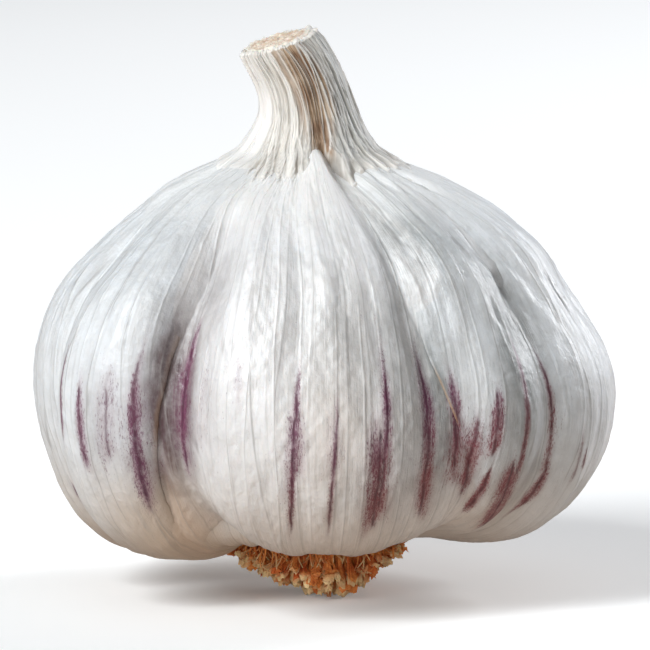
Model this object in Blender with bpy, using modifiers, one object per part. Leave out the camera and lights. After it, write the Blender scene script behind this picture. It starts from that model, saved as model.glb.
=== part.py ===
"""A garlic bulb: lobed body, torn outer skin, leaning neck with its stalk, root plate and roots."""

import math

import bpy
import numpy as np

for old in list(bpy.data.objects):
    bpy.data.objects.remove(old, do_unlink=True)

MM = 0.001
GAP = 0.35 * MM

# Half outlines of the body through a lobe's middle, on its left and right sides: radius and height
# in mm, from below to the neck. Other bearings lie between the two.
OUTLINE_LEFT = (
    (0.0, 8.3), (5.0, 8.3), (9.3, 8.2), (10.4, 6.8), (12.8, 5.3), (16.6, 4.6),
    (20.9, 5.0), (24.0, 7.1), (26.2, 10.0), (27.8, 13.8), (29.0, 18.0), (29.4, 22.0),
    (29.1, 25.6), (28.0, 29.2), (25.9, 32.8), (22.2, 36.2), (18.2, 39.2), (14.6, 41.7),
    (11.3, 43.3), (8.0, 44.6), (4.0, 45.3), (0.0, 45.5),
)
OUTLINE_RIGHT = (
    (0.0, 8.3), (5.0, 8.3), (9.3, 8.2), (10.4, 7.2), (12.6, 6.5), (16.0, 6.2),
    (19.8, 6.7), (23.1, 8.0), (26.0, 10.4), (28.4, 13.8), (29.8, 18.0), (30.0, 22.0),
    (29.0, 25.6), (26.9, 29.2), (24.5, 32.8), (22.5, 36.2), (19.3, 39.2), (15.1, 41.7),
    (11.4, 43.3), (8.0, 44.6), (4.0, 45.3), (0.0, 45.5),
)

# Valleys between lobes: bearing at the neck and at the roots in degrees from the front, and depth in mm.
VALLEYS = (
    (-32.0, -43.0, 3.4),
    (17.0, 40.0, 3.3),
    (99.0, 100.0, 2.6),
    (143.0, 144.0, 3.0),
    (188.0, 187.0, 3.2),
    (238.0, 235.0, 2.8),
    (292.0, 285.0, 2.6),
)
LOBE_INSET = (1.3, 0.0, 0.9, 1.2, 1.1, 0.0, 0.0)
LOBE_FLATNESS = (3.2, 3.0, 2.5, 2.5, 2.5, 2.6, 2.4)
LOBE_STEPS = (12, 11, 8, 9, 9, 9, 8)
BODY_RINGS = 34

FOLD_BEARING = 44.0
FOLD_WIDTH = 5.5
FOLD_DEPTH = 1.2 * MM

NECK_OFFSET = -1.4 * MM
NECK_LEAN_START = 48.0 * MM
NECK_LEAN = 3.0 * MM
NECK_LEAN_RUN = 9.3 * MM
NECK_TOP = 57.2 * MM
CUT_TILT_SHARE = 0.65

SKIN_THICKNESS = 0.3 * MM
SKIN_TOP_RADIUS = 12.2 * MM
SKIN_BOTTOM_RADIUS = 12.4 * MM

# Outer surface of the sheath above the shoulder: radius and height along the neck in mm.
SHEATH_OUTLINE = (
    (7.6, 45.8), (6.7, 46.9), (6.0, 48.2), (5.3, 49.9), (4.9, 52.0), (4.75, 54.0), (4.55, 55.8),
    (4.3, 56.6), (3.9, 57.2),
)
SHEATH_RIM_RADIUS = 11.2 * MM
SHEATH_BORE = 3.6 * MM
STALK_RADIUS = 3.25 * MM
STALK_FOOT = 45.95 * MM

# Half section of the root plate: radius and height in mm.
PLATE_SECTION = ((0.0, 7.9), (8.4, 7.9), (9.0, 7.3), (8.9, 6.2), (8.0, 5.0), (6.0, 4.5), (0.0, 4.4))

ROOT_COUNT = 32
ROOT_SPREAD = 7.3 * MM
ROOT_SPLAY = 1.2
ROOT_TOP_RADIUS = 0.72 * MM
ROOT_TIP_RADIUS = 0.92 * MM
ROOT_SIDES = 8
ROOT_REST_RADIUS = 4.4 * MM
GOLDEN_ANGLE = math.radians(137.50776)


def smooth_step(low, high, x):
    t = np.clip((x - low) / (high - low), 0.0, 1.0)
    return t * t * (3.0 - 2.0 * t)


def curve_through(knots, steps=24):
    """Catmull-Rom curve through the knots, as a dense polyline."""
    knots = np.array(knots, float)
    padded = np.vstack([2 * knots[0] - knots[1], knots, 2 * knots[-1] - knots[-2]])
    t = np.arange(steps)[:, None] / steps
    spans = []
    for a, b, c, d in zip(padded, padded[1:], padded[2:], padded[3:]):
        bend = (2 * a - 5 * b + 4 * c - d) * t**2 + (3 * b - a - 3 * c + d) * t**3
        spans.append(b + 0.5 * ((c - a) * t + bend))
    return np.vstack([*spans, knots[-1:]])


LEFT_CURVE = curve_through(OUTLINE_LEFT) * MM
RIGHT_CURVE = curve_through(OUTLINE_RIGHT) * MM
MEAN_CURVE = (LEFT_CURVE + RIGHT_CURVE) / 2
OUTLINE_LENGTH = np.concatenate(
    [[0.0], np.cumsum(np.linalg.norm(np.diff(MEAN_CURVE, axis=0), axis=1))]
)
OUTLINE_LENGTH /= OUTLINE_LENGTH[-1]


def outline_at(s, bearing):
    """Radius, height and outward direction of the body's outline at a share s of its length."""
    rightward = 0.5 + 0.5 * math.sin(math.radians(bearing))
    curve = LEFT_CURVE + (RIGHT_CURVE - LEFT_CURVE) * rightward
    slope = np.gradient(curve, axis=0)
    slope /= np.linalg.norm(slope, axis=1)[:, None]
    radius, height = (np.interp(s, OUTLINE_LENGTH, curve[:, k]) for k in (0, 1))
    run, rise = (np.interp(s, OUTLINE_LENGTH, slope[:, k]) for k in (0, 1))
    return radius, height, rise, -run


def share_at_radius(radius, above):
    """Share of the outline's length where it has this radius, above or below the widest place."""
    widest = int(np.argmax(MEAN_CURVE[:, 0]))
    if above:
        return np.interp(-radius, -MEAN_CURVE[widest:, 0], OUTLINE_LENGTH[widest:])
    return np.interp(radius, MEAN_CURVE[:widest, 0], OUTLINE_LENGTH[:widest])


def lobe_columns(lobes):
    """Lobe number and share across it for each column of the body, closest together in the valleys."""
    columns = []
    for lobe in lobes:
        steps = LOBE_STEPS[lobe]
        columns += [(lobe, 0.5 - 0.5 * math.cos(math.pi * k / steps)) for k in range(steps)]
    return columns


def body_point(lobe, across, s, lift):
    """Point of the body's surface, lifted off it: valleys and lobe sizes are pressed into the outline."""
    left, right = VALLEYS[lobe], VALLEYS[(lobe + 1) % len(VALLEYS)]
    turn = 360.0 if lobe + 1 == len(VALLEYS) else 0.0
    middle = left[1] + (right[1] + turn - left[1]) * across
    radius, height, out_r, out_z = outline_at(s, middle)
    down = 1.0 - smooth_step(0.2, 0.9, s)
    bearing_left = left[0] + (left[1] - left[0]) * down
    bearing_right = right[0] + (right[1] - right[0]) * down + turn
    bearing = bearing_left + (bearing_right - bearing_left) * across
    side = 2.0 * across - 1.0
    valley = (left[2] if side < 0 else right[2]) * MM
    crest = LOBE_INSET[lobe] * MM
    press = crest + (valley - crest) * abs(side) ** LOBE_FLATNESS[lobe]
    strength = smooth_step(0.10, 0.26, s) * (1.0 - 0.93 * smooth_step(0.5, 0.86, s))
    press = press * strength
    fold = np.exp(-(((bearing - FOLD_BEARING) / FOLD_WIDTH) ** 2))
    press = press + FOLD_DEPTH * fold * smooth_step(0.25, 0.4, s) * (1.0 - smooth_step(0.6, 0.85, s))
    reach = radius + out_r * (lift - press)
    z = height + out_z * (lift - press)
    x = reach * np.sin(np.radians(bearing)) + NECK_OFFSET * smooth_step(33 * MM, 45 * MM, z)
    return np.stack([x, -reach * np.cos(np.radians(bearing)), z], axis=-1)


def body_rings(columns, shares, lift):
    """Rings of the lifted surface, lowest first: one row of points per share."""
    return np.stack([body_point(lobe, across, shares, lift) for lobe, across in columns], axis=1)


def neck_ring(height, radius, bearings):
    """Circle round the neck's leaning centre line, tilted by a share of the lean."""
    rise = max(height - NECK_LEAN_START, 0.0) / NECK_LEAN_RUN
    centre = np.array([NECK_OFFSET - NECK_LEAN * rise**1.5, 0.0, height])
    lean = CUT_TILT_SHARE * math.atan(1.5 * NECK_LEAN / NECK_LEAN_RUN * math.sqrt(rise))
    across = np.array([math.cos(lean), 0.0, math.sin(lean)])
    return centre + radius * (
        np.sin(bearings)[:, None] * across + np.cos(bearings)[:, None] * np.array([0.0, -1.0, 0.0])
    )


def ring_faces(rows, columns, first=0, closed=True):
    """Quads between neighbouring rings of points, facing out where rings rise and bearings turn right."""
    faces = []
    for row in range(rows - 1):
        for column in range(columns if closed else columns - 1):
            after = (column + 1) % columns
            low, high = first + row * columns, first + (row + 1) * columns
            faces.append((low + column, low + after, high + after, high + column))
    return faces


def finish(name, points, faces, material):
    mesh = bpy.data.meshes.new(name)
    mesh.from_pydata([tuple(p) for p in points], [], faces)
    mesh.materials.append(material)
    mesh.shade_smooth()
    mesh.update()
    obj = bpy.data.objects.new(name, mesh)
    garlic.objects.link(obj)
    return obj


def loft(name, rings, material, bottom=None, top=None):
    """Closed body through a stack of rings, each end closed to a point or by one flat face."""
    rows, columns = rings.shape[:2]
    points = list(rings.reshape(-1, 3))
    faces = ring_faces(rows, columns)
    last = (rows - 1) * columns
    for end, start, rising in ((bottom, 0, False), (top, last, True)):
        loop = list(range(start, start + columns))
        if end is None:
            faces.append(tuple(loop if rising else reversed(loop)))
            continue
        points.append(np.array(end))
        for a, b in zip(loop, loop[1:] + loop[:1]):
            faces.append((a, b, len(points) - 1) if rising else (b, a, len(points) - 1))
    return finish(name, points, faces, material)


def make_material(name, colour, roughness):
    material = bpy.data.materials.new(name)
    material.use_nodes = True
    shader = material.node_tree.nodes["Principled BSDF"]
    shader.inputs["Base Color"].default_value = (*colour, 1.0)
    shader.inputs["Roughness"].default_value = roughness
    shader.inputs["Metallic"].default_value = 0.0
    return material


garlic = bpy.data.collections.new("garlic_bulb")
bpy.context.scene.collection.children.link(garlic)

# Body of cloves under skin.
columns = lobe_columns(range(len(VALLEYS)))
foot = share_at_radius(3.0 * MM, above=False)
head = share_at_radius(2.5 * MM, above=True)
shares = np.linspace(foot, head, BODY_RINGS)
loft(
    "bulb",
    body_rings(columns, shares, 0.0),
    make_material("bulb_skin", (0.74, 0.70, 0.68), 0.5),
    bottom=(0.0, 0.0, MEAN_CURVE[0, 1]),
    top=(NECK_OFFSET, 0.0, MEAN_CURVE[-1, 1]),
)

# Outer skin leaf: wraps the sides and the back, and leaves the front lobe bare.
skin_columns = lobe_columns(range(1, len(VALLEYS)))[1:]
low = share_at_radius(SKIN_BOTTOM_RADIUS, above=False)
high = share_at_radius(SKIN_TOP_RADIUS, above=True)
skin_shares = np.array([low, *shares[(shares > low + 0.01) & (shares < high - 0.01)], high])
sheet = body_rings(skin_columns, skin_shares, GAP)
wall = body_rings(skin_columns, skin_shares, GAP + SKIN_THICKNESS)
rows, width = sheet.shape[:2]
count = rows * width
edge = [row * width for row in range(rows)]
edge = [*range(width), *(e + width - 1 for e in edge[1:]), *range(count - 2, count - width - 1, -1)]
edge += [row * width for row in range(rows - 2, 0, -1)]
faces = ring_faces(rows, width, first=count, closed=False)
faces += [face[::-1] for face in ring_faces(rows, width, closed=False)]
faces += [(a, b, b + count, a + count) for a, b in zip(edge, edge[1:] + edge[:1])]
finish(
    "outer_skin",
    np.vstack([sheet.reshape(-1, 3), wall.reshape(-1, 3)]),
    faces,
    make_material("outer_skin", (0.80, 0.78, 0.78), 0.45),
)

# Sheath of old leaf bases: its flared foot lies on the shoulder, its tube leans round the stalk.
rim = share_at_radius(SHEATH_RIM_RADIUS, above=True)
under = np.linspace(rim, share_at_radius(4.4 * MM, above=True), 4)
foot_rings = body_rings(columns, under, GAP)[::-1]
rim_ring = body_rings(columns, np.array([rim]), GAP + 0.4 * MM)
flare = share_at_radius(9.3 * MM, above=True)
flare_ring = body_rings(columns, np.array([flare]), GAP + 0.55 * MM)
around = foot_rings[0] - np.array([NECK_OFFSET, 0.0, 0.0])
bearings = np.arctan2(around[:, 0], -around[:, 1])
outside = [neck_ring(h * MM, r * MM, bearings) for r, h in SHEATH_OUTLINE]
inside = [
    neck_ring(h, SHEATH_BORE, bearings)
    for h in (NECK_TOP, 55.0 * MM, 52.5 * MM, 50.0 * MM, 47.5 * MM, 46.2 * MM)
]
rings = np.concatenate([foot_rings, rim_ring, flare_ring, outside, inside, foot_rings[:1]])
rows = len(rings) - 1
faces = ring_faces(rows + 1, len(columns))
faces = [tuple(index % (rows * len(columns)) for index in face) for face in faces]
finish(
    "neck_sheath",
    rings[:-1].reshape(-1, 3),
    faces,
    make_material("neck_fibre", (0.70, 0.62, 0.52), 0.6),
)

# Stalk inside the neck, cut off square to its lean.
bearings = np.radians(np.arange(0.0, 360.0, 15.0))
stalk_rings = [
    neck_ring(h, r, bearings)
    for h, r in (
        (STALK_FOOT, STALK_RADIUS - 0.4 * MM),
        (STALK_FOOT + 0.4 * MM, STALK_RADIUS),
        (49.0 * MM, STALK_RADIUS),
        (51.0 * MM, STALK_RADIUS),
        (53.0 * MM, STALK_RADIUS),
        (55.0 * MM, STALK_RADIUS),
        (NECK_TOP - 0.1 * MM, STALK_RADIUS),
        (NECK_TOP + 0.1 * MM, STALK_RADIUS - 0.3 * MM),
    )
]
loft("stalk", np.array(stalk_rings), make_material("stalk_pith", (0.72, 0.55, 0.42), 0.8))

# Root plate: a turned disc in the hollow under the body.
plate_mesh = bpy.data.meshes.new("root_plate")
section = [(r * MM, 0.0, z * MM) for r, z in reversed(PLATE_SECTION)]
plate_mesh.from_pydata(section, [(k, k + 1) for k in range(len(section) - 1)], [])
plate_mesh.materials.append(make_material("root_plate", (0.30, 0.17, 0.09), 0.85))
plate = bpy.data.objects.new("root_plate", plate_mesh)
garlic.objects.link(plate)
turn = plate.modifiers.new("Turn", "SCREW")
turn.steps = 32
turn.render_steps = 32
turn.use_merge_vertices = True
turn.merge_threshold = 0.00001
turn.use_normal_calculate = True

# Roots: short splayed stubs under the plate; the inner ones end level and carry the bulb.
root_material = make_material("root", (0.42, 0.20, 0.08), 0.85)
corners = np.linspace(0.0, 2.0 * math.pi, ROOT_SIDES, endpoint=False)
for number in range(ROOT_COUNT):
    distance = ROOT_SPREAD * math.sqrt((number + 0.5) / ROOT_COUNT)
    bearing = number * GOLDEN_ANGLE
    direction = np.array([math.sin(bearing), -math.cos(bearing), 0.0])
    top_height = 4.4 * MM - GAP
    tip_distance = distance * ROOT_SPLAY
    beyond = max(tip_distance - ROOT_REST_RADIUS, 0.0) / MM
    tip_height = 0.5 * beyond**1.3 * MM
    rings = []
    for share, radius in ((0.0, ROOT_TIP_RADIUS), (0.35, ROOT_TIP_RADIUS), (1.0, ROOT_TOP_RADIUS)):
        away = tip_distance + (distance - tip_distance) * share
        height = tip_height + (top_height - tip_height) * share
        ring = direction * away + np.array([0.0, 0.0, height])
        spokes = np.stack([np.sin(corners), -np.cos(corners), np.zeros(ROOT_SIDES)], axis=1)
        rings.append(ring + radius * spokes)
    loft(f"root_{number + 1:02d}", np.array(rings), root_material)
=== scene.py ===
# %% [markdown]
# # A garlic bulb
# This lesson dresses a packed set of plain solids as a real garlic bulb: papery skin with purple
# streaks, a fibrous neck that was cut short, and a tuft of trimmed roots. The solids give every size
# and place, and each new piece is a surface worked out with numpy on a grid of two parameters.

import math

import bpy
import numpy as np
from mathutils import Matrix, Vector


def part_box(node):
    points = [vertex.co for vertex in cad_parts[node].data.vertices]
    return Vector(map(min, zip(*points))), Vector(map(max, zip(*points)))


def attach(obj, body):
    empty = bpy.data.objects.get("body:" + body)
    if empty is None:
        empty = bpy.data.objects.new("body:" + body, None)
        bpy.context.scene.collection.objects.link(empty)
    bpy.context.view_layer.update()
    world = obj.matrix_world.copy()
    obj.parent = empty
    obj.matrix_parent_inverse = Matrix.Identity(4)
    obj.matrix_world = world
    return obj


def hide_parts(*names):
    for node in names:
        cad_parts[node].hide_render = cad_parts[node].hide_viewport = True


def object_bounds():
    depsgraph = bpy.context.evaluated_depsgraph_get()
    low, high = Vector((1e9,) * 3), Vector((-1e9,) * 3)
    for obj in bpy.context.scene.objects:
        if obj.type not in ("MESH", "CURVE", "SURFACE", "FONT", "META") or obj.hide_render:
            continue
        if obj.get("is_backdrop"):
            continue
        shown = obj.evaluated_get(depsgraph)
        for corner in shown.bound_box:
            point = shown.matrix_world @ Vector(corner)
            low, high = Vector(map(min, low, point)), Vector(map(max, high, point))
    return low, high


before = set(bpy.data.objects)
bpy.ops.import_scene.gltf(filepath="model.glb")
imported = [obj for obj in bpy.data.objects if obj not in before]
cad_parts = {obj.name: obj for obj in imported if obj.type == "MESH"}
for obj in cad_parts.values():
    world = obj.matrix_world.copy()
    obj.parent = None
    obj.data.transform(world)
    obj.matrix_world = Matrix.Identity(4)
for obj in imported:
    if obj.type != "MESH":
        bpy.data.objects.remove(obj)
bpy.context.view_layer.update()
MM = 0.001

# %% [markdown]
# ## Shared maths
# A real bulb has few straight lines, so its shapes are made from a handful of measured radii and
# heights with a smooth curve drawn through them. Catmull-Rom curves are used because they pass through
# every point given, which keeps the numbers easy to read. Natural irregularity comes from sums of
# cosine waves with seeded random phases: they repeat exactly after a full turn, so no seam shows.

# %% Curves, steps and waves
def smooth_step(low, high, x):
    """0 below low, 1 above high, and 3t^2 - 2t^3 between, with t the share of the way."""
    t = np.clip((x - low) / (high - low), 0.0, 1.0)
    return t * t * (3.0 - 2.0 * t)


def rise_and_fall(a, b, c, d, x):
    """Smooth step up from a to b, times one minus the smooth step from c to d."""
    return smooth_step(a, b, x) * (1.0 - smooth_step(c, d, x))


def bell(distance, width):
    """Bell curve: e to the minus square of distance over width."""
    return np.exp(-((distance / width) ** 2))


def turned(angle):
    """Difference of bearings brought between -180 and 180 degrees."""
    return (angle + 180.0) % 360.0 - 180.0


def curve_through(knots, steps=24):
    """Catmull-Rom cubic through knots (points or whole rings), sampled at equal steps of each span."""
    knots = np.asarray(knots, float)
    padded = np.concatenate([2 * knots[:1] - knots[1:2], knots, 2 * knots[-1:] - knots[-2:-1]])
    t = (np.arange(steps) / steps).reshape(-1, *[1] * (knots.ndim - 1))
    spans = []
    for a, b, c, d in zip(padded, padded[1:], padded[2:], padded[3:]):
        bend = (2 * a - 5 * b + 4 * c - d) * t**2 + (3 * b - a - 3 * c + d) * t**3
        spans.append(b + 0.5 * ((c - a) * t + bend))
    return np.concatenate([*spans, knots[-1:]])


def waves(bearing, along, seed, turns, cycles, count=22):
    """Sum of cosines of whole turns round the axis and cycles along it, scaled to a spread near 1."""
    rng = np.random.default_rng(seed)
    total = np.zeros(np.broadcast(bearing, along).shape)
    for _ in range(count):
        round_axis = rng.integers(turns[0], turns[1] + 1)
        up_axis = rng.uniform(-cycles, cycles) * 2 * math.pi
        phase = rng.uniform(0, 2 * math.pi)
        total += np.cos(round_axis * np.radians(bearing) + up_axis * along + phase)
    return total * math.sqrt(2 / count)


# %% [markdown]
# ## The body's shape
# The cloves inside press the skin into broad lobes with valleys between them. The shape starts as a
# half outline turned about the upright axis, a fuller one on the left than on the right. Each point is
# then pressed in along the outline's own normal, deeply at a valley and hardly at a lobe's middle, so
# the valleys also cut into the underside as they do on a real bulb. The solid was made from the same
# outline and valleys, which is why skin and solid agree.

# %% Outline, valleys and lobes
OUTLINE_LEFT = (
    (0.0, 8.3), (5.0, 8.3), (9.3, 8.2), (10.4, 6.8), (12.8, 5.3), (16.6, 4.6),
    (20.9, 5.0), (24.0, 7.1), (26.2, 10.0), (27.8, 13.8), (29.0, 18.0), (29.4, 22.0),
    (29.1, 25.6), (28.0, 29.2), (25.9, 32.8), (22.2, 36.2), (18.2, 39.2), (14.6, 41.7),
    (11.3, 43.3), (8.0, 44.6), (4.0, 45.3), (0.0, 45.5),
)
OUTLINE_RIGHT = (
    (0.0, 8.3), (5.0, 8.3), (9.3, 8.2), (10.4, 7.2), (12.6, 6.5), (16.0, 6.2),
    (19.8, 6.7), (23.1, 8.0), (26.0, 10.4), (28.4, 13.8), (29.8, 18.0), (30.0, 22.0),
    (29.0, 25.6), (26.9, 29.2), (24.5, 32.8), (22.5, 36.2), (19.3, 39.2), (15.1, 41.7),
    (11.4, 43.3), (8.0, 44.6), (4.0, 45.3), (0.0, 45.5),
)
# Bearing at the neck and at the roots in degrees from the front, to the right, and depth in mm.
VALLEYS = np.array([
    (-32.0, -43.0, 3.4), (17.0, 40.0, 3.3), (99.0, 100.0, 2.6), (143.0, 144.0, 3.0),
    (188.0, 187.0, 3.2), (238.0, 235.0, 2.8), (292.0, 285.0, 2.6), (328.0, 317.0, 3.4),
])
LOBE_INSET = np.array([1.3, 0.0, 0.9, 1.2, 1.1, 0.0, 0.0])
LOBE_FLATNESS = np.array([2.5, 2.5, 2.5, 2.5, 2.5, 2.5, 2.3])
FOLD_BEARING, FOLD_WIDTH, FOLD_DEPTH = 44.0, 5.5, 1.2
NECK_OFFSET = -1.4

LEFT_CURVE, RIGHT_CURVE = curve_through(OUTLINE_LEFT), curve_through(OUTLINE_RIGHT)
MEAN_CURVE = (LEFT_CURVE + RIGHT_CURVE) / 2
OUTLINE_LENGTH = np.concatenate([[0.0], np.cumsum(np.linalg.norm(np.diff(MEAN_CURVE, axis=0), axis=1))])
LENGTH_MM = OUTLINE_LENGTH[-1]
OUTLINE_LENGTH = OUTLINE_LENGTH / LENGTH_MM
print("outline from root hollow to neck:", round(LENGTH_MM, 1), "mm")


# %% Points of the body's surface
def share_at_radius(radius, above):
    """Share of the outline's length at this radius, above or below the widest place."""
    widest = int(np.argmax(MEAN_CURVE[:, 0]))
    if above:
        return np.interp(-radius, -MEAN_CURVE[widest:, 0], OUTLINE_LENGTH[widest:])
    return np.interp(radius, MEAN_CURVE[:widest, 0], OUTLINE_LENGTH[:widest])


def mm_per_degree_at(share):
    """Arc length of one degree at this share: radius times pi over 180, the radius taken as 2 mm or more."""
    return np.maximum(outline_at(share, 0.5)[0], 2.0) * math.pi / 180.0


def outline_at(share, rightward):
    """Radius, height and outward direction: the two half outlines mixed by how far right the bearing is."""
    found = []
    for curve in (LEFT_CURVE, RIGHT_CURVE):
        slope = np.gradient(curve, axis=0)
        slope /= np.linalg.norm(slope, axis=1)[:, None]
        columns = (curve[:, 0], curve[:, 1], slope[:, 1], -slope[:, 0])
        found.append([np.interp(share, OUTLINE_LENGTH, column) for column in columns])
    radius, height, out_r, out_z = (a + (b - a) * rightward for a, b in zip(*found))
    size = np.hypot(out_r, out_z)
    return radius, height, out_r / size, out_z / size


def bearing_at(turn, share):
    """Bearing of a place counted in lobes from the left valley: valleys drift from neck to roots."""
    lobe = np.floor(turn).astype(int) % 7
    across = turn - np.floor(turn)
    down = 1.0 - smooth_step(0.2, 0.9, share)
    left = VALLEYS[lobe, 0] + (VALLEYS[lobe, 1] - VALLEYS[lobe, 0]) * down
    right = VALLEYS[lobe + 1, 0] + (VALLEYS[lobe + 1, 1] - VALLEYS[lobe + 1, 0]) * down
    return left + (right - left) * across


def body_surface(turn, share, lift):
    """Outline point at this share, pressed in by the valleys, raised by lift, and turned to its bearing."""
    lobe = np.floor(turn).astype(int) % 7
    across = turn - np.floor(turn)
    bearing = bearing_at(turn, share)
    radius, height, out_r, out_z = outline_at(share, 0.5 + 0.5 * np.sin(np.radians(bearing)))
    side = 2.0 * across - 1.0
    valley = np.where(side < 0, VALLEYS[lobe, 2], VALLEYS[lobe + 1, 2])
    press = LOBE_INSET[lobe] + (valley - LOBE_INSET[lobe]) * np.abs(side) ** LOBE_FLATNESS[lobe]
    press = press * smooth_step(0.10, 0.26, share) * (1.0 - 0.93 * smooth_step(0.5, 0.86, share))
    fold = bell(bearing - FOLD_BEARING, FOLD_WIDTH)
    press = press + FOLD_DEPTH * fold * rise_and_fall(0.25, 0.4, 0.6, 0.85, share)
    reach = radius + out_r * (lift - press)
    z = height + out_z * (lift - press)
    x = reach * np.sin(np.radians(bearing)) + NECK_OFFSET * smooth_step(33.0, 45.0, z)
    return np.stack([x, -reach * np.cos(np.radians(bearing)), z], axis=-1)


# %% [markdown]
# ## From grid to mesh
# Every new piece ends as rows and columns of points. The helpers join neighbouring rows with quads, and
# close a grid either as a tube with a fan of triangles at each end or as a thin sheet with two walls.
# Extra numbers are stored on the points, such as how strongly the skin is stained there. The materials
# read those numbers, so a stain stays where it is on the skin. Faces are listed so that their outer side
# is the one that looks away from the axis.

# %% Mesh helpers
def grid_faces(rows, columns, wrap=True, first=0):
    """Quads (here, right, right and up, up) for each cell of a grid whose last column may meet the first."""
    row = np.arange(rows - 1)[:, None]
    column = np.arange(columns if wrap else columns - 1)[None, :]
    after = (column + 1) % columns
    corners = [row * columns + column, row * columns + after, (row + 1) * columns + after,
               (row + 1) * columns + column]
    return np.stack(corners, axis=-1).reshape(-1, 4) + first


def add_object(name, data):
    """Object of this data at the origin, linked to the scene."""
    made = bpy.data.objects.new(name, data)
    bpy.context.scene.collection.objects.link(made)
    return made


def make_piece(name, points, faces, material, values=None, smooth=True):
    """Object at the origin from points in mm, faces of three or four corners, and numbers per point."""
    mesh = bpy.data.meshes.new(name)
    mesh.from_pydata((np.asarray(points) * MM).tolist(), [], [list(face) for face in faces])
    for label, numbers in (values or {}).items():
        numbers = np.ascontiguousarray(numbers, np.float32)
        kind, slot_name = ("FLOAT_VECTOR", "vector") if numbers.ndim == 2 else ("FLOAT", "value")
        mesh.attributes.new(label, kind, "POINT").data.foreach_set(slot_name, numbers.ravel())
    mesh.polygons.foreach_set("use_smooth", [smooth] * len(mesh.polygons))
    mesh.materials.append(material)
    mesh.update()
    piece = add_object(name, mesh)
    print(name, len(mesh.vertices), "points,", sum(len(f) - 2 for f in faces), "triangles")
    return piece


def fan(loop, tip, outward=True):
    """Triangles from a closed loop of point numbers to one tip."""
    after = np.roll(loop, -1)
    first, second = (loop, after) if outward else (after, loop)
    return np.stack([first, second, np.full(len(loop), tip)], axis=1)


def closed_tube(grid, low_tip, high_tip):
    """Closed body from rings: quads between the rings, and a fan from each end ring to its tip."""
    rows, columns = grid.shape[:2]
    ring = np.arange(columns)
    points = np.vstack([grid.reshape(-1, 3), [low_tip], [high_tip]])
    faces = [*grid_faces(rows, columns), *fan(ring, rows * columns, outward=False),
             *fan(ring + (rows - 1) * columns, rows * columns + 1)]
    return points, faces


def closed_sheet(outer, inner):
    """Closed thin sheet from two grids of one size: both walls, and quads round the border between them."""
    rows, columns = outer.shape[:2]
    count = rows * columns
    border = np.concatenate([
        np.arange(columns), np.arange(2, rows) * columns - 1, [count - 1],
        np.arange(count - 2, count - columns - 1, -1), np.arange(rows - 2, 0, -1) * columns,
    ])
    after = np.roll(border, -1)
    faces = [*grid_faces(rows, columns, wrap=False),
             *grid_faces(rows, columns, wrap=False, first=count)[:, ::-1],
             *np.stack([border, border + count, after + count, after], axis=1)]
    return np.vstack([outer.reshape(-1, 3), inner.reshape(-1, 3)]), faces


def for_tips(values):
    """The numbers of a grid's points, with the first point's repeated for a tube's two tips."""
    return {key: np.concatenate([kept, kept[:1], kept[:1]]) for key, kept in values.items()}


def for_both_walls(values):
    """The numbers of a grid's points twice over, for a sheet's two walls."""
    return {key: np.concatenate([kept, kept]) for key, kept in values.items()}


def normals_of(grid, wrap=True):
    """Unit normals: cross product of the differences to the neighbours along columns and rows."""
    if wrap:
        across = np.roll(grid, -1, axis=1) - np.roll(grid, 1, axis=1)
    else:
        across = np.gradient(grid, axis=1)
    up = np.gradient(grid, axis=0)
    normal = np.cross(across, up)
    return normal / np.maximum(np.linalg.norm(normal, axis=2), 1e-9)[..., None]


# %% [markdown]
# ## Wiring materials
# Materials are built from nodes in code. A small class keeps that short: each method adds one node,
# plugs in its inputs, and hands back the socket that comes out, so a pattern reads like a sum. The
# patterns that several finishes share, such as papery fibre and stain, are node groups made once.

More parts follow.
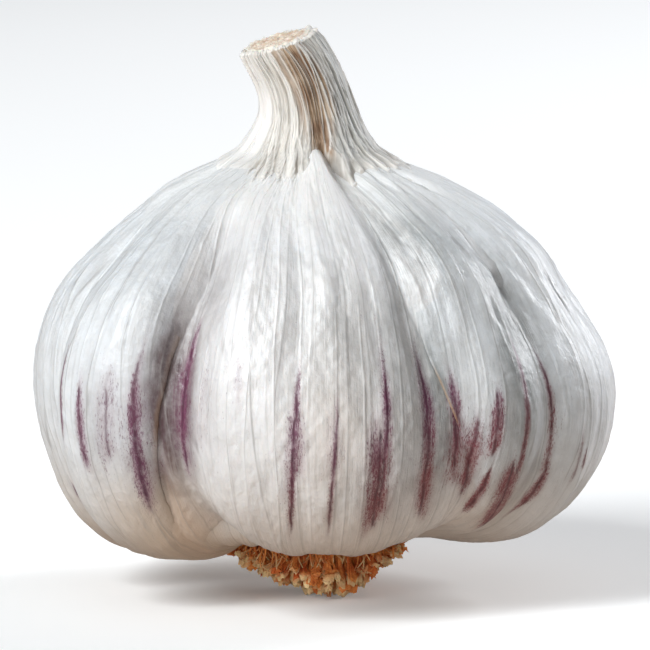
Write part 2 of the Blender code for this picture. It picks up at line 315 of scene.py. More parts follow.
# %% Node helper
class Wiring:
    """Adds nodes to one tree, wiring each as it is made."""

    def __init__(self, tree):
        self.tree = tree

    def add(self, kind, inputs=None, **settings):
        """New node with these settings. An input is either a socket to wire in or an even value."""
        made = self.tree.nodes.new(kind)
        for key, value in settings.items():
            setattr(made, key, value)
        for key, value in (inputs or {}).items():
            if isinstance(value, bpy.types.NodeSocket):
                self.plug(value, made.inputs[key])
            else:
                made.inputs[key].default_value = value
        return made

    def plug(self, socket, target):
        self.tree.links.new(socket, target)

    def group(self, tree, **inputs):
        """Use of a node group with sockets wired to its named inputs, giving its outputs."""
        made = self.add("ShaderNodeGroup", node_tree=tree)
        for key, socket in inputs.items():
            self.plug(socket, made.inputs[key])
        return made.outputs

    def bump(self, shader, height, strength, distance):
        """Bump of this height on the shader's normal."""
        made = self.add("ShaderNodeBump", {"Strength": strength, "Distance": distance, "Height": height})
        self.plug(made.outputs[0], shader.inputs["Normal"])

    def maths(self, operation, *values):
        return self.add("ShaderNodeMath", dict(enumerate(values)), operation=operation).outputs[0]

    def times(self, a, b):
        return self.maths("MULTIPLY", a, b)

    def times_plus(self, a, b, c):
        """a times b, plus c."""
        return self.maths("MULTIPLY_ADD", a, b, c)

    def value(self, label):
        """Number stored on the points under this label."""
        return self.add("ShaderNodeAttribute", attribute_name=label).outputs["Fac"]

    def vector(self, label):
        return self.add("ShaderNodeAttribute", attribute_name=label).outputs["Vector"]

    def parts(self, vector):
        return self.add("ShaderNodeSeparateXYZ", {0: vector}).outputs[:3]

    def place(self):
        return self.add("ShaderNodeTexCoord").outputs["Object"]

    def stretch(self, vector, scale):
        """Vector times scale, axis by axis, so a small scale draws the noise out along that axis."""
        return self.add("ShaderNodeMapping", {"Vector": vector, "Scale": scale}).outputs[0]

    def noise(self, vector, scale, detail=3.0, roughness=0.55, distortion=0.0):
        inputs = {"Vector": vector, "Scale": scale, "Detail": detail, "Roughness": roughness,
                  "Distortion": distortion}
        return self.add("ShaderNodeTexNoise", inputs).outputs[0]

    def step(self, value, low, high, bottom=0.0, top=1.0):
        """From bottom to top while value goes from low to high, by 3t^2 - 2t^3, and level outside."""
        inputs = {"Value": value, "From Min": low, "From Max": high, "To Min": bottom, "To Max": top}
        return self.add("ShaderNodeMapRange", inputs, interpolation_type="SMOOTHSTEP").outputs[0]

    def mix(self, factor, a, b):
        """Colour a times (1 - factor), plus colour b times factor."""
        made = self.add("ShaderNodeMix", data_type="RGBA")
        for socket, value in ((0, factor), (6, a), (7, b)):
            if isinstance(value, bpy.types.NodeSocket):
                self.plug(value, made.inputs[socket])
            elif socket == 0:
                made.inputs[0].default_value = value
            else:
                made.inputs[socket].default_value = (*value, 1.0)
        return made.outputs[2]


def new_material(name, **constants):
    """Material with a Principled shader, its even settings put straight on the shader's sockets."""
    material = bpy.data.materials.new(name)
    material.use_nodes = True
    shader = material.node_tree.nodes["Principled BSDF"]
    for key, value in constants.items():
        shader.inputs[key.replace("_", " ")].default_value = value
    return material, Wiring(material.node_tree), shader


def new_group(name, inputs, outputs):
    """Empty node group with named value or vector inputs and value outputs."""
    tree = bpy.data.node_groups.new(name, "ShaderNodeTree")
    for label, kind in inputs.items():
        tree.interface.new_socket(label, in_out="INPUT", socket_type=kind)
    for label in outputs:
        tree.interface.new_socket(label, in_out="OUTPUT", socket_type="NodeSocketFloat")
    wiring = Wiring(tree)
    return tree, wiring, wiring.add("NodeGroupInput").outputs, wiring.add("NodeGroupOutput").inputs


# %% [markdown]
# ## Papery fibre
# Garlic skin is a dried leaf, so its fibres run from root to neck and never across. The group reads a
# direction stored on each point that changes fast round the bulb and slowly along it. Noise sampled
# there is drawn out into long hairs. Veins are the borders between stretched Voronoi cells. Broad bands,
# thin hairs and veins are given separately, and their sum with a fine tooth is the height for the bump.

# %% Fibre group
fibre_group, g, gi, go = new_group(
    "papery_fibre", {"Grain": "NodeSocketVector"}, ("Bands", "Hairs", "Veins", "Height")
)
grain = gi["Grain"]
bands = g.noise(g.stretch(grain, (14.0, 14.0, 1.3)), 1.0, 3.0, 0.6, 0.15)
hairs = g.noise(g.stretch(grain, (58.0, 58.0, 2.2)), 1.0, 3.0, 0.65, 0.1)
tooth = g.noise(g.stretch(grain, (120.0, 120.0, 26.0)), 1.0, 2.0, 0.6, 0.3)
sway = g.add("ShaderNodeTexNoise", {"Vector": g.stretch(grain, (6.0, 6.0, 3.0)), "Scale": 1.0}).outputs[1]
sway = g.add("ShaderNodeVectorMath", {0: sway, 1: (0.16, 0.16, 0.16)}, operation="MULTIPLY").outputs[0]
bent = g.stretch(grain, (13.0, 13.0, 0.62))
bent = g.add("ShaderNodeVectorMath", {0: bent, 1: sway}, operation="ADD").outputs[0]
cells = g.add("ShaderNodeTexVoronoi", {"Vector": bent, "Scale": 1.0}, feature="DISTANCE_TO_EDGE").outputs[0]
veins = g.step(cells, 0.006, 0.035, 1.0, 0.0)
height = g.times_plus(hairs, 0.5, g.times(tooth, 0.3))
height = g.times_plus(g.step(cells, 0.0, 0.10, 1.0, 0.0), 0.34, height)
g.plug(bands, go["Bands"])
g.plug(hairs, go["Hairs"])
g.plug(g.times(veins, g.step(bands, 0.38, 0.62, 0.1, 1.0)), go["Veins"])
g.plug(g.maths("ADD", height, g.times(bands, 0.35)), go["Height"])
print("nodes in the fibre group:", len(fibre_group.nodes))

# %% [markdown]
# ## Purple stain
# The purple of garlic skin is pigment along the veins. It is darkest on the vein itself and breaks into
# hairs and specks at the sides. The stored stain strength is added to a mix of three noises, specks,
# hairs and blotches: where the strength is high nearly all of the noise passes, and at the edge only
# its peaks do. A soft wash lies under the specks, and the vein is a thin line drawn from the stored
# distance to the nearest vein.

# %% Stain group
VECTOR, NUMBER = "NodeSocketVector", "NodeSocketFloat"
stain_group, g, gi, go = new_group(
    "vein_stain", {"Place": VECTOR, "Grain": VECTOR, "Stain": NUMBER, "Across": NUMBER},
    ("Wash", "Specks", "Line"),
)
place, grain, stain, across = (gi[label] for label in ("Place", "Grain", "Stain", "Across"))
speck_noise = g.noise(g.stretch(place, (7600.0, 7600.0, 2300.0)), 1.0, 2.0, 0.7, 0.4)
hair_noise = g.noise(g.stretch(grain, (85.0, 85.0, 7.0)), 1.0, 3.0, 0.65, 0.3)
blotch_noise = g.noise(g.stretch(grain, (30.0, 30.0, 13.0)), 1.0, 3.0, 0.6, 0.6)
mixed = g.times_plus(speck_noise, 0.52, g.times(hair_noise, 0.28))
mixed = g.times_plus(blotch_noise, 0.20, mixed)
strength = g.maths("MINIMUM", stain, g.times_plus(stain, 0.22, 0.68))
margin = g.times_plus(mixed, 9.0, g.times_plus(strength, 2.0, -5.85))
wobble = g.noise(g.stretch(grain, (5.0, 5.0, 9.0)), 1.0, 4.0, 0.6)
broken = g.step(g.noise(g.stretch(grain, (20.0, 20.0, 16.0)), 1.0, 3.0, 0.6), 0.36, 0.56, 0.4, 1.0)
off = g.maths("ABSOLUTE", g.maths("ADD", across, g.times_plus(wobble, 0.7, -0.35)))
line = g.step(g.maths("ADD", off, g.times(speck_noise, 0.34)), 0.19, 0.40, 1.0, 0.0)
g.plug(g.step(margin, -0.55, 1.15), go["Specks"])
g.plug(g.step(stain, 0.02, 1.25), go["Wash"])
g.plug(g.times(g.times(line, broken), g.step(stain, 0.25, 0.75)), go["Line"])
print("nodes in the stain group:", len(stain_group.nodes))

# %% [markdown]
# ## Skin finish
# The skin is white with a cool sheen where it is thick and dry, cream to tan where it turns under to
# the roots, and grey where it is thin. Its shaded right side, its creases and the left valley are also
# darkened with painted shade in the colour. It is satin rather than dull, and a little light passes
# through it, so some subsurface scattering softens the valleys. Three stored numbers place the grey tone
# with painted shade, the purple with painted valley shade, and the warm tones, and the height above the
# floor places the tan of the underside. One function makes the finish for the inner and the outer skin,
# which differ only in tint.

# %% Skin material
def skin_material(name, tint, shade):
    material, w, shader = new_material(
        name, Roughness=0.4, Specular_IOR_Level=0.65, Subsurface_Weight=0.18, Subsurface_Scale=0.0014,
        Subsurface_Radius=(1.0, 0.72, 0.55), Sheen_Weight=0.06, Sheen_Roughness=0.4,
    )
    place, grain = w.place(), w.vector("grain")
    fibre = w.group(fibre_group, Grain=grain)
    stain = w.group(stain_group, Place=place, Grain=grain, Stain=w.value("stain"), Across=w.value("across"))
    right, _, z = w.parts(place)
    grey_tone_and_shade, purple_and_valley_shade, warm = w.parts(w.vector("tone_and_shade_washes"))
    patches = w.noise(place, 95.0, 4.0, 0.6)
    mottle = w.noise(place, 420.0, 4.0, 0.65)
    colour = w.mix(w.step(patches, 0.3, 0.72), tint, shade)
    dusk = (0.60, 0.59, 0.585)
    colour = w.mix(w.step(mottle, 0.42, 0.7, 0.0, 0.35), colour, dusk)
    colour = w.mix(w.step(fibre["Bands"], 0.42, 0.70, 0.0, 0.42), colour, dusk)
    # Grey patches: a grey tone and painted shade on the shaded right side and in the creases.
    colour = w.mix(w.times(grey_tone_and_shade, w.step(mottle, 0.2, 0.7, 0.58, 1.0)), colour, (0.17, 0.18, 0.177))
    # Purple patches: a dark purple-brown wash that is painted shade in the left valley.
    colour = w.mix(w.times(purple_and_valley_shade, w.step(mottle, 0.3, 0.65, 0.78, 1.0)), colour, (0.070, 0.038, 0.040))
    colour = w.mix(warm, colour, (0.68, 0.51, 0.38))
    colour = w.mix(w.step(z, 0.038, 0.044, 0.0, 0.7), colour, (0.85, 0.83, 0.81))
    calm = w.step(z, 0.032, 0.043, 1.0, 0.3)
    hair = w.times(w.step(fibre["Hairs"], 0.50, 0.80, 0.0, 0.50), calm)
    colour = w.mix(hair, colour, (0.40, 0.38, 0.37))
    colour = w.mix(w.times(fibre["Veins"], w.times(calm, 0.50)), colour, (0.26, 0.235, 0.23))
    low = w.step(w.maths("ADD", z, w.times(patches, 0.008)), 0.024, 0.008)
    colour = w.mix(w.times(low, 0.5), colour, (0.60, 0.49, 0.40))
    under = w.step(z, 0.0095, 0.0048)
    colour = w.mix(w.times(under, 0.6), colour, (0.46, 0.30, 0.19))
    red = w.step(w.times_plus(right, -0.35, w.times_plus(patches, 0.006, z)), 0.024, 0.014)
    wash = w.times(stain["Wash"], w.step(mottle, 0.3, 0.65, 0.40, 0.85))
    colour = w.mix(wash, colour, w.mix(red, (0.27, 0.125, 0.190), (0.235, 0.050, 0.052)))
    speck_colour = w.mix(red, (0.125, 0.018, 0.064), (0.155, 0.008, 0.016))
    colour = w.mix(w.times(stain["Specks"], 0.92), colour, speck_colour)
    line_colour = w.mix(red, (0.070, 0.008, 0.034), (0.070, 0.005, 0.010))
    colour = w.mix(w.times(stain["Line"], 0.9), colour, line_colour)
    colour = w.mix(w.value("brown"), colour, (0.33, 0.19, 0.09))
    w.plug(colour, shader.inputs["Base Color"])
    w.plug(w.step(fibre["Hairs"], 0.35, 0.7, 0.38, 0.52), shader.inputs["Roughness"])
    crinkle = w.noise(place, 750.0, 4.0, 0.65)
    crumple = w.noise(place, 210.0, 3.0, 0.6, 0.5)
    height = w.times_plus(crumple, 2.2, w.times_plus(crinkle, 0.8, fibre["Height"]))
    w.bump(shader, height, 0.6, 0.22 * MM)
    return material


inner_finish = skin_material("inner_skin_paper", (0.85, 0.85, 0.86), (0.73, 0.715, 0.71))
outer_finish = skin_material("outer_skin_paper", (0.84, 0.85, 0.87), (0.71, 0.715, 0.725))
print("skin finishes:", inner_finish.name, outer_finish.name)

# %% [markdown]
# ## Veins and streaks
# Fine grey veins run from neck to root, unevenly spaced, and some carry a purple streak over part of
# their height. Each point stores its distance to the nearest vein and how dark that vein is. Streaks
# are given one by one: bearing, the heights between which the streak shows, its half width and its
# strength. The streaks on the back come from a seeded random generator.

# %% Vein and streak tables
# Highest point in mm and its bearing in degrees, lowest point and its bearing, half width in mm, strength.
STREAKS = [
    (29.0, -60.8, 16.5, -61.6, 0.45, 1.0), (13.0, -80, 9.0, -80, 0.4, 0.7),
    (26.0, -54.8, 13.5, -54.6, 0.55, 0.95), (28.5, -47.0, 14.5, -49.2, 1.15, 0.54),
    (30.5, -40.9, 10.5, -45.0, 0.45, 1.2), (27.5, -41.5, 12.5, -44.4, 1.6, 0.47),
    (33.0, -30.9, 13.5, -34.6, 0.38, 1.15), (31.5, -31.3, 14.5, -34.0, 1.3, 0.64),
    (29.0, -26, 16.0, -27, 1.4, 0.32), (30.0, -17.6, 22.0, -16.6, 0.5, 0.4),
    (30.5, -4.7, 8.4, -7.4, 0.36, 1.0), (25.0, -5.0, 13.5, -6.4, 0.85, 0.85),
    (27.5, 3.1, 8.5, 1.7, 0.35, 0.75), (24.0, 2.5, 15.0, 1.8, 0.8, 0.45),
    (32.0, 13.1, 8.5, 12.9, 0.55, 1.0), (23.5, 11.6, 9.6, 12.3, 1.10, 1.02),
    (30.5, 22.2, 10.5, 24.2, 0.65, 1.2), (19.5, 23.3, 11.0, 24.2, 1.05, 0.76),
    (28.5, 28.7, 13.0, 31.3, 0.55, 1.0), (23.5, 30.4, 13.0, 31.3, 1.1, 0.76),
    (23.5, 34.2, 12.4, 34.2, 0.7, 1.1), (24.5, 37.8, 17.0, 38.0, 0.62, 1.15),
    (16.8, 38.6, 10.9, 38.2, 0.33, 1.2), (31.0, 45.0, 13.0, 45.7, 0.35, 1.0),
    (18.0, 43.0, 9.4, 45.4, 0.95, 1.25), (16.0, 55.2, 10.6, 55.4, 0.5, 1.2),
    (28.0, 53.4, 13.0, 55.3, 0.35, 0.85), (16.2, 64.2, 14.4, 64.4, 0.33, 1.0),
    (19.0, 62.0, 12.0, 62.6, 0.3, 0.55),
]
STREAK_SEED = 8
rng = np.random.default_rng(STREAK_SEED)
for bearing in np.arange(84.0, 274.0, 9.5):
    low, tall = rng.uniform(8.0, 15.0), rng.uniform(5.0, 14.0)
    bearing = bearing + rng.uniform(-3, 3)
    STREAKS.append((low + tall, bearing, low, bearing + rng.uniform(-2, 2), rng.uniform(0.5, 1.5),
                    rng.uniform(0.35, 1.0)))
# Soft tone patches: bearing, height in mm, half width in degrees, half height in mm, strength.
# The grey patches are a grey tone and painted shade on the shaded right side and in the creases;
# the purple patches are a purple wash and, in the left valley and low creases, painted shade.
GREY_TONE_AND_SHADE_PATCHES = [
    (17, 28, 7, 12, 0.44), (26, 23, 5, 11, 0.84), (45.5, 28, 6.5, 12, 1.05), (50, 31, 7.5, 11, 0.80),
    (38, 16, 12, 5, 0.28), (34, 34, 8, 7, 0.42), (-2, 37.5, 9, 4, 0.20), (36, 40, 20, 6, 0.72),
    (60, 22, 9, 10, 0.25), (4, 27, 10, 9, 0.46), (9, 14, 12, 6, 0.28), (50, 14, 10, 5, 0.45),
    (3, 40, 30, 3, 0.12), (-50, 36, 22, 6, 0.20), (150, 26, 30, 9, 0.4), (-140, 30, 25, 9, 0.4),
]
# Purple wash, made dark purple-brown as painted shade in the left valley between the lobes.
PURPLE_AND_VALLEY_SHADE_PATCHES = [
    (-37.4, 22, 3.9, 10, 1.5), (-33.0, 23, 4.0, 9, 0.95), (-43.0, 20, 4.0, 8, 0.26),
    (-40.5, 13, 3.6, 6, 1.0), (-31, 33, 7, 6, 0.46), (-30, 37, 14, 4.5, 0.20), (-51, 21, 6, 7, 0.22),
    (-24, 22, 5, 7, 0.22), (32, 17, 8, 5, 0.34), (13, 15, 8, 6, 0.27), (46, 13, 9, 4, 0.38),
    (130, 20, 20, 8, 0.4), (-110, 22, 18, 8, 0.3), (200, 20, 18, 8, 0.4),
]
WARM_PATCHES = [
    (-43, 8, 12, 5.5, 0.95), (5, 8, 30, 5, 0.35), (2, 20, 9, 8, 0.22), (44, 9, 14, 5, 0.45),
    (100, 8, 25, 6, 0.4), (180, 8, 60, 6, 0.4), (-100, 8, 30, 5, 0.4),
]
print("streaks:", len(STREAKS))


# %% Numbers stored on the skin
def soft_patches(patches, bearing, z):
    """Largest of the patches, at most 1: strength times a bell curve of bearing and one of height."""
    total = np.zeros(bearing.shape)
    for place, height, wide, tall, strength in patches:
        total = np.maximum(total, strength * bell(turned(bearing - place), wide) * bell(z - height, tall))
    return np.minimum(total, 1.0)


def skin_values(grid, bearing, share):
    """Stain, distance to the nearest streak, tone patches with painted shade and the grain direction for each
    point.
    """
    reach = np.maximum(np.hypot(grid[..., 0] - NECK_OFFSET * smooth_step(33, 45, grid[..., 2]),
                                grid[..., 1]), 1.0)
    mm_per_degree = reach * math.pi / 180.0
    wander = 0.35 * waves(bearing, share, 31, (2, 9), 3.0)
    nearest, stain = np.full(bearing.shape, 99.0), np.zeros(bearing.shape)
    z = grid[..., 2] + 0.7 * waves(bearing, share, 5, (20, 60), 3.0)
    for high, high_bearing, low, low_bearing, width, strength in STREAKS:
        tall = high - low
        place = low_bearing + (high_bearing - low_bearing) * (grid[..., 2] - low) / tall
        across = turned(bearing + wander - place) * mm_per_degree
        taper = rise_and_fall(low - 0.6, low + 0.22 * tall, high - 0.4 * tall, high + 1.0, z)
        thin = 0.45 + 0.55 * smooth_step(high, high - 0.45 * tall, z)
        added = strength * bell(across, 1.35 * width * thin) * taper
        nearest = np.where(added > stain, across, nearest)
        stain = np.maximum(stain, added)
    turn = np.radians(bearing)
    grain = np.stack([np.cos(turn), np.sin(turn), share * 3.0], axis=-1)
    z = grid[..., 2]
    tone_and_shade_washes = np.stack([soft_patches(p, bearing, z) for p in (GREY_TONE_AND_SHADE_PATCHES, PURPLE_AND_VALLEY_SHADE_PATCHES, WARM_PATCHES)], -1)
    return {
        "stain": stain.ravel(), "across": np.clip(nearest, -9, 9).ravel(), "grain": grain.reshape(-1, 3),
        "tone_and_shade_washes": tone_and_shade_washes.reshape(-1, 3), "brown": np.zeros(stain.size),
    }


# %% [markdown]
# ## Relief
# Skin pulled over cloves isn't smooth. It swells a little, carries low ribs over its veins, and on the
# front lobe a fold stands up where the skin rises into the neck. The relief is a height added to the
# surface along its normal: cosine waves for the swelling, a bell curve across each rib, and for the
# front fold a bell curve whose height grows towards the neck.

# %% Relief of the skin
RIB_SEED, RIB_COUNT = 14, 96
# Soft bulges (and dents, negative): bearing at the neck and at the roots, half width in degrees, height in mm,
# and the shares of the outline at which each starts and ends.
BULGES = [
    (44, 44, 5.5, 1.2, 0.30, 0.75), (52, 54, 6.5, -1.9, 0.28, 0.80), (37, 41, 5.0, 0.5, 0.30, 0.80),
    (-29, -36, 7.5, -1.9, 0.28, 0.80), (-15, -19, 7.0, 0.5, 0.25, 0.85), (21, 27, 5.5, -1.0, 0.33, 0.80),
    (-43, -43, 8.0, 1.9, 0.10, 0.33), (-27, -27, 11.5, -3.0, 0.12, 0.35),
    (-60, -60, 18.0, -1.0, 0.10, 0.34), (58, 58, 16.0, -0.95, 0.10, 0.32),
    (-84, -84, 40.0, 0.35, 0.20, 0.80), (88, 88, 40.0, 0.35, 0.20, 0.80),
    (-66, -70, 3.5, -0.35, 0.3, 0.8), (70, 72, 3.5, -0.35, 0.3, 0.8), (-4, -6, 3.0, -0.2, 0.3, 0.75),
    (6, 8, 3.5, 0.2, 0.3, 0.8), (125, 125, 6.0, -0.8, 0.3, 0.8), (165, 165, 6.0, 0.4, 0.3, 0.8),
    (214, 212, 5.0, -0.7, 0.3, 0.8), (262, 262, 6.0, -0.7, 0.3, 0.8),
]


def relief(bearing, share):
    """Bulges, swelling, ribs and soft creases in mm, from bearing in degrees and share of the outline."""
    mm_per_degree = mm_per_degree_at(share)
    total = 0.13 * waves(bearing, share, 3, (3, 14), 2.2)
    total = total + 0.045 * waves(bearing, share, 4, (18, 46), 5.0)
    for top, low, wide, tall, start, end in BULGES:
        place = low + (top - low) * share
        along = rise_and_fall(start - 0.08, start + 0.08, end - 0.12, end + 0.04, share)
        total = total + tall * bell(turned(bearing - place), wide) * along
    rng = np.random.default_rng(RIB_SEED)
    for _ in range(RIB_COUNT):
        place = rng.uniform(0.0, 360.0)
        height, width = 0.015 + 0.09 * rng.uniform(0, 1) ** 2, rng.uniform(0.2, 0.7)
        sway, fade = rng.uniform(-3.5, 3.5), rng.uniform(0.35, 0.75)
        across = turned(bearing - place - sway * (share - 0.5))
        total = total + height * bell(across * mm_per_degree, width) * smooth_step(0.15, fade, share)
    shoulder = bell(bearing - 50.0, 22.0) * rise_and_fall(0.5, 0.66, 0.86, 0.95, share)
    total = total + 0.11 * shoulder * waves(bearing, share, 19, (40, 95), 13.0)
    total = total + 0.018 * waves(bearing, share, 61, (60, 170), 42.0, 40)
    total = total + 0.030 * waves(bearing, share, 62, (18, 64), 17.0, 36)
    return total * smooth_step(0.12, 0.22, share) * (1 - 0.8 * smooth_step(0.84, 0.96, share))


def front_fold(bearing, share):
    """The pale fold at the front that climbs into the neck, with a hollow on each side of it."""
    mm_per_degree = mm_per_degree_at(share)
    climbing = smooth_step(0.66, 0.93, share)
    ridge_bearing = 11.0 - 3.0 * climbing
    stem = 0.95 * climbing + 0.9 * smooth_step(0.82, 0.95, share)
    bearing = turned(bearing)
    fold = stem * bell((bearing - ridge_bearing) * mm_per_degree, 1.35 + 0.7 * (1 - climbing))
    branches = rise_and_fall(0.48, 0.70, 0.80, 0.90, share)
    fold = fold + 0.45 * branches * bell((bearing - 18 * (0.8 - share)) * mm_per_degree, 1.2)
    fold = fold + 0.30 * branches * bell((bearing - 15.0) * mm_per_degree, 1.1)
    hollow = rise_and_fall(0.66, 0.80, 0.90, 0.96, share)
    fold = fold - 0.95 * hollow * bell((bearing - ridge_bearing - 15.0) * mm_per_degree, 2.3)
    return fold - 0.40 * hollow * bell((bearing + 14.0) * mm_per_degree, 2.4)


print("ribs:", RIB_COUNT, "bulges and dents:", len(BULGES))


# %% [markdown]
# ## Inner skin
# This is the skin next to the cloves. Only its front lobe shows, between the free edges of the torn
# outer leaf, so most of the grid's columns are spent there, and a few dozen more where the leaf's edges
# sink into it. It closes to a point in the root hollow and again inside the neck, which makes it one
# closed body in place of the plain solid.

# %% Build the inner skin
front = np.linspace(-0.06, 1.06, 236)
under_edges = [np.linspace(-0.30, -0.06, 28)[:-1], np.linspace(1.06, 1.32, 30)[1:]]
rest = np.linspace(1.32, 6.70, 84)[1:-1]
inner_turn = np.concatenate([under_edges[0], front, under_edges[1], rest])[None, :]
root_rim = share_at_radius(9.0, above=False)
neck_rim = share_at_radius(5.0, above=True)
inner_share = np.concatenate([
    np.linspace(share_at_radius(3.0, above=False), root_rim, 7)[:-1],
    np.linspace(root_rim, neck_rim, 244),
    np.linspace(neck_rim, share_at_radius(1.5, above=True), 5)[1:],
])[:, None]
inner_bearing = bearing_at(inner_turn, inner_share)
between = rise_and_fall(-0.02, 0.25, 0.75, 1.02, inner_turn)
inner_lift = 0.22 + 0.22 * smooth_step(0.6, 0.8, inner_share) * between
inner_lift = inner_lift + relief(inner_bearing, inner_share) + front_fold(inner_bearing, inner_share)
inner_grid = body_surface(inner_turn, inner_share, inner_lift)
points, faces = closed_tube(inner_grid, (0, 0, 8.4), (NECK_OFFSET, 0, 46.0))
values = skin_values(inner_grid, inner_bearing, inner_share + 0 * inner_bearing)
values = for_tips(values)
inner_skin = make_piece("inner_skin", points, faces, inner_finish, values)
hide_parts("bulb")
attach(inner_skin, "root")

# %% [markdown]
# ## Outer leaf
# The outermost leaf has split down the front and shrunk back to the valleys on each side of the front
# lobe. It is a thin closed sheet: an outer wall, an inner wall a sixth of a millimetre below it, and
# an edge that joins them all round. Near the neck its edges sink into the inner skin, as a real leaf
# grows out of the neck there, and lower down they stand free and a little curled.

# %% Build the outer leaf
LEAF_THICKNESS = 0.16
# The free edges to the right and the left of the front lobe, counted in lobes from the left valley.
RIGHT_EDGE, LEFT_EDGE = 1.012, 6.988
near_side = np.linspace(RIGHT_EDGE, 2.0, 108)
far_side = np.linspace(2.0, 5.35, 100)[1:]
left_side = np.linspace(5.35, LEFT_EDGE, 150)[1:]
leaf_turn = np.concatenate([near_side, far_side, left_side])[None, :]
leaf_low = share_at_radius(11.4, above=False)
leaf_high = share_at_radius(7.0, above=True)
leaf_share = np.linspace(leaf_low, leaf_high, 126)[:, None]
near_neck = smooth_step(0.58, 0.72, leaf_share)
edge_left = smooth_step(6.90 - 0.22 * near_neck, LEFT_EDGE, leaf_turn)
edge_right = 1.0 - smooth_step(RIGHT_EDGE, 1.07 + 0.22 * near_neck, leaf_turn)
ragged = 0.008 * waves(leaf_turn * 0 + 40.0, leaf_share, 9, (1, 2), 9.0)
leaf_turn = leaf_turn + ragged * (edge_left * 0.8 + edge_right)
leaf_turn = leaf_turn - 0.036 * bell(leaf_share - 0.53, 0.09) * (1.0 - smooth_step(RIGHT_EDGE, 1.25, leaf_turn))
leaf_bearing = bearing_at(leaf_turn, leaf_share)
merge_left = smooth_step(0.56, 0.66, leaf_share)
free_right = rise_and_fall(0.44, 0.50, 0.60, 0.68, leaf_share)
leaf_lift = 0.42 + 0.02 * edge_left * (1 - merge_left) - 0.36 * edge_left * merge_left
leaf_lift = leaf_lift - 0.4 * edge_left * smooth_step(0.37, 0.25, leaf_share)
leaf_lift = leaf_lift - edge_right * (0.24 + 0.16 * near_neck - 0.36 * free_right)
leaf_lift = leaf_lift + relief(leaf_bearing, leaf_share)
leaf_lift = leaf_lift + front_fold(leaf_bearing, leaf_share)
leaf_outer = body_surface(leaf_turn, leaf_share, leaf_lift)
leaf_inner = body_surface(leaf_turn, leaf_share, leaf_lift - LEAF_THICKNESS)
points, faces = closed_sheet(leaf_outer, leaf_inner)
values = skin_values(leaf_outer, leaf_bearing, leaf_share + 0 * leaf_bearing)
worn = smooth_step(0.2, 0.8, 0.5 + 0.5 * waves(leaf_bearing * 0, leaf_share, 6, (1, 8), 7.0))
brown_left = smooth_step(0.80, 1.0, edge_left) * (1 - merge_left) * worn * 0.6
tan_part = rise_and_fall(0.478, 0.50, 0.555, 0.585, leaf_share)
brown_right = smooth_step(0.93, 0.99, edge_right) * tan_part * (0.55 + 0.35 * worn)
values["brown"] = np.maximum(brown_left, brown_right).ravel()
values = for_both_walls(values)
outer_leaf = make_piece("outer_leaf", points, faces, outer_finish, values)
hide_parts("outer_skin")
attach(outer_leaf, "root")

# %% [markdown]
# ## Thin flap
# Under the front lobe a scrap of the outer leaf still bridges the left valley. It is so thin that light
# shines through, which turns it peach. On both sides it starts inside the skin, and in between it runs
# where the skin would run if the valley were only half as deep: there it leaves the pressed body and
# follows the plain outline instead. Its lower edge hangs free above the roots.

# %% Build the flap
flap_turn = np.linspace(6.80, 7.50, 110)[None, :]
flap_share = np.linspace(share_at_radius(14.4, above=False), 0.275, 44)[:, None]
flap_bearing = bearing_at(flap_turn, flap_share)
bridge = rise_and_fall(6.92, 7.10, 7.20, 7.46, flap_turn)
bridge = bridge * (1.0 - smooth_step(0.195, 0.260, flap_share))
buried = relief(flap_bearing, flap_share) + 0.40 - 0.9 * (1.0 - bridge)
hugging = body_surface(flap_turn, flap_share, buried)
radius, height, out_r, out_z = outline_at(flap_share, 0.5 + 0.5 * np.sin(np.radians(flap_bearing)))
inward = 1.25 + 0.75 * smooth_step(6.95, 7.14, flap_turn)
inward = inward + 0.05 * waves(flap_bearing, flap_share, 71, (9, 60), 6.0)
reach, turn = radius - out_r * inward, np.radians(flap_bearing)
spanning = np.stack([reach * np.sin(turn), -reach * np.cos(turn), height - out_z * inward], axis=-1)
flap_inner = hugging + (spanning - hugging) * bridge[..., None]
flap_inner[..., 2] += 0.15 * waves(flap_bearing, 0.0, 72, (9, 50), 0.1) * smooth_step(0.23, 0.19, flap_share)
flap_outer = flap_inner + LEAF_THICKNESS * normals_of(flap_inner, wrap=False)
points, faces = closed_sheet(flap_outer, flap_inner)
values = skin_values(flap_inner, flap_bearing, flap_share + 0 * flap_bearing)
values["tone_and_shade_washes"][:, 2] = np.maximum(values["tone_and_shade_washes"][:, 2], 0.9 * bridge.ravel())
values = for_both_walls(values)
torn_flap = make_piece("torn_flap", points, faces, outer_finish, values)
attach(torn_flap, "root")

# %% [markdown]
# ## Neck
# The neck is a bundle of dried leaf bases. From a distance it is a leaning tube that flares onto the
# shoulder, and close to it is a mass of raised strands with brown hollows between. The smooth tube is a
# Catmull-Rom surface through rings: low ones that follow the shoulder, high ones tilted with the lean.
# Strands are bell curves across the tube, each on its own wandering bearing and with its own lower end,
# and the highest strand wins at each point, which leaves sharp valleys between neighbours. The left side
# stays smooth, as one broad leaf wraps it. At the front the strands part over the rising front skin, and
# the tube dives under the body's skin at its foot, so only the strands themselves run out onto the bulb.

# %% Neck centre line and rings
LEAN_START, LEAN, LEAN_RUN, TILT_SHARE = 48.0, 3.3, 9.3, 0.475
CUT_FORWARD = math.tan(math.radians(5.0))
NECK_COLUMNS = 430
# Lower rings: distance from the bulb's axis and lift above its surface. Upper rings: radius and height.
SHOULDER_RINGS = ((15.0, 0.41), (13.4, 0.41), (11.8, 0.42), (10.4, 0.46), (9.2, 0.66))
SHEATH_OUTLINE = (
    (7.5, 45.85), (6.6, 46.8), (5.8, 48.0), (5.0, 49.8), (4.55, 51.9), (4.38, 53.9), (4.25, 55.9), (4.05, 56.9),
)
